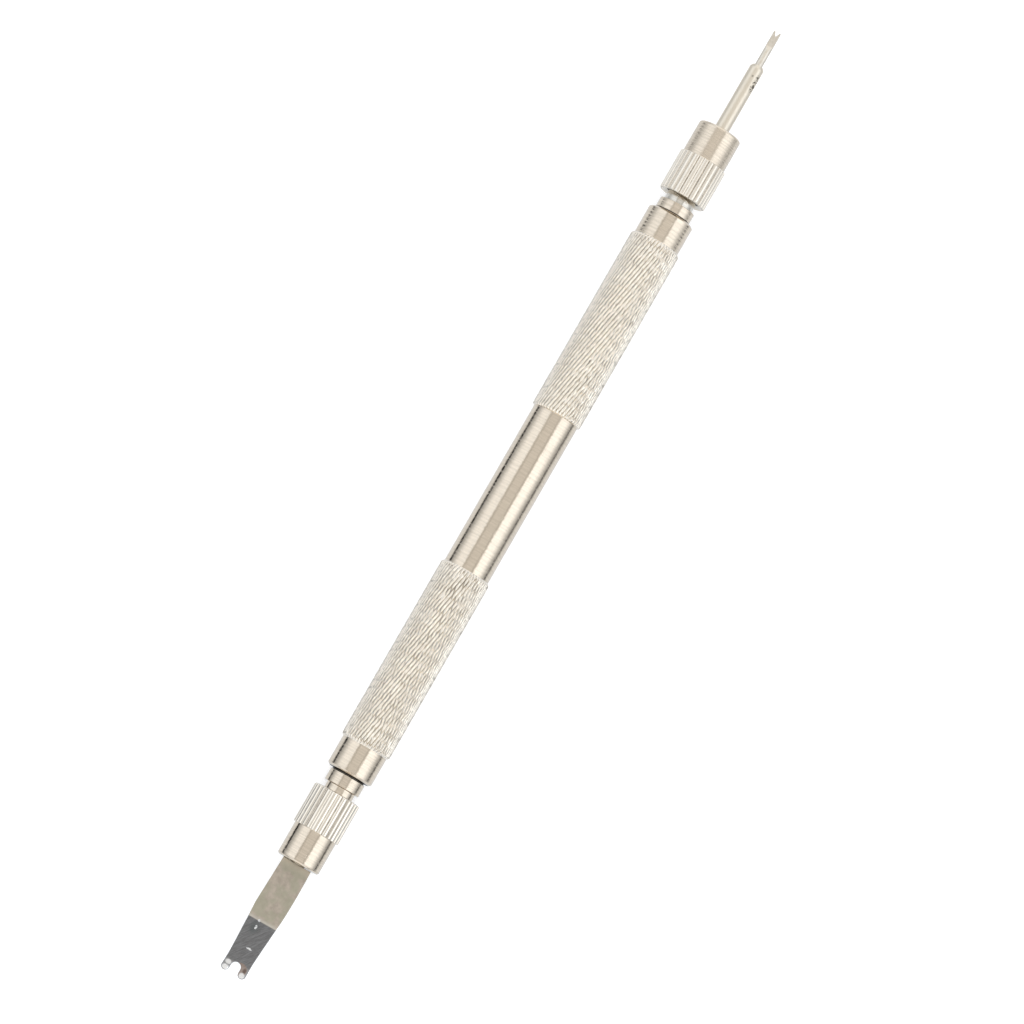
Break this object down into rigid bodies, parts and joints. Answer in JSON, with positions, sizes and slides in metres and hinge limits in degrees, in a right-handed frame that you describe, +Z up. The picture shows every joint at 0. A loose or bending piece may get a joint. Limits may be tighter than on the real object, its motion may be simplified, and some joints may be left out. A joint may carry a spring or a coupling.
{
  "type": "spring bar tool",
  "caption": "Double-ended watch strap tool: knurled bar with a chuck at each end, one holding a wide fork blade, the other a fine notched pin.",
  "frame": {"origin": "on the surface that the tool lies on, under the middle of its overall length and on its axis", "axes": "+X along the tool towards the fine fork, +Y across it, +Z up, square to the broad faces of both forks"},
  "size_m": [0.1401, 0.007, 0.0069],
  "materials": {
    "nickel_plate": "bright warm nickel plate over turned brass, fine turning rings, diamond knurled grips",
    "nut_plate": "bright warm nickel plate over turned and fluted brass",
    "collet_steel": "hardened steel, machined",
    "blade_plate": "dull mottled nickel plate, ground bare and grey at the fork end",
    "shank_plate": "nickel-plated steel rod, chipped near its end",
    "ground_steel": "bright ground hardened steel"
  },
  "bodies": {
    "root": {"handle_bar": "nickel_plate", "blade_stub": "nickel_plate", "pin_stub": "nickel_plate"},
    "blade_collet": {"blade_collet": "collet_steel"},
    "blade_nut": {"blade_nut": "nut_plate"},
    "fork_blade": {"fork_blade": "blade_plate"},
    "pin_collet": {"pin_collet": "collet_steel"},
    "pin_nut": {"pin_nut": "nut_plate"},
    "fine_fork": {"pin_shank": "shank_plate", "fork_pin": "ground_steel"}
  },
  "joints": [
    {"name": "blade_nut_advance", "type": "slide", "parent": "root", "child": "blade_collet", "axis": [-1, 0, 0], "range_m": [0, 0.004]},
    {"name": "blade_nut_turn", "type": "hinge", "parent": "blade_collet", "child": "blade_nut", "pos_m": [-0.04577, 0, 0.00347], "axis": [-1, 0, 0], "range_deg": [0, 2880]},
    {"name": "blade_draw", "type": "slide", "parent": "blade_collet", "child": "fork_blade", "axis": [-1, 0, 0], "range_m": [0, 0.0115]},
    {"name": "pin_nut_advance", "type": "slide", "parent": "root", "child": "pin_collet", "axis": [1, 0, 0], "range_m": [0, 0.004]},
    {"name": "pin_nut_turn", "type": "hinge", "parent": "pin_collet", "child": "pin_nut", "pos_m": [0.04733, 0, 0.00347], "axis": [1, 0, 0], "range_deg": [0, 2880]},
    {"name": "pin_draw", "type": "slide", "parent": "pin_collet", "child": "fine_fork", "axis": [1, 0, 0], "range_m": [0, 0.0115]}
  ],
  "couplings": [
    {"joint": "blade_nut_turn", "follows": "blade_nut_advance", "rad_per_m": 12566},
    {"joint": "pin_nut_turn", "follows": "pin_nut_advance", "rad_per_m": 12566}
  ]
}
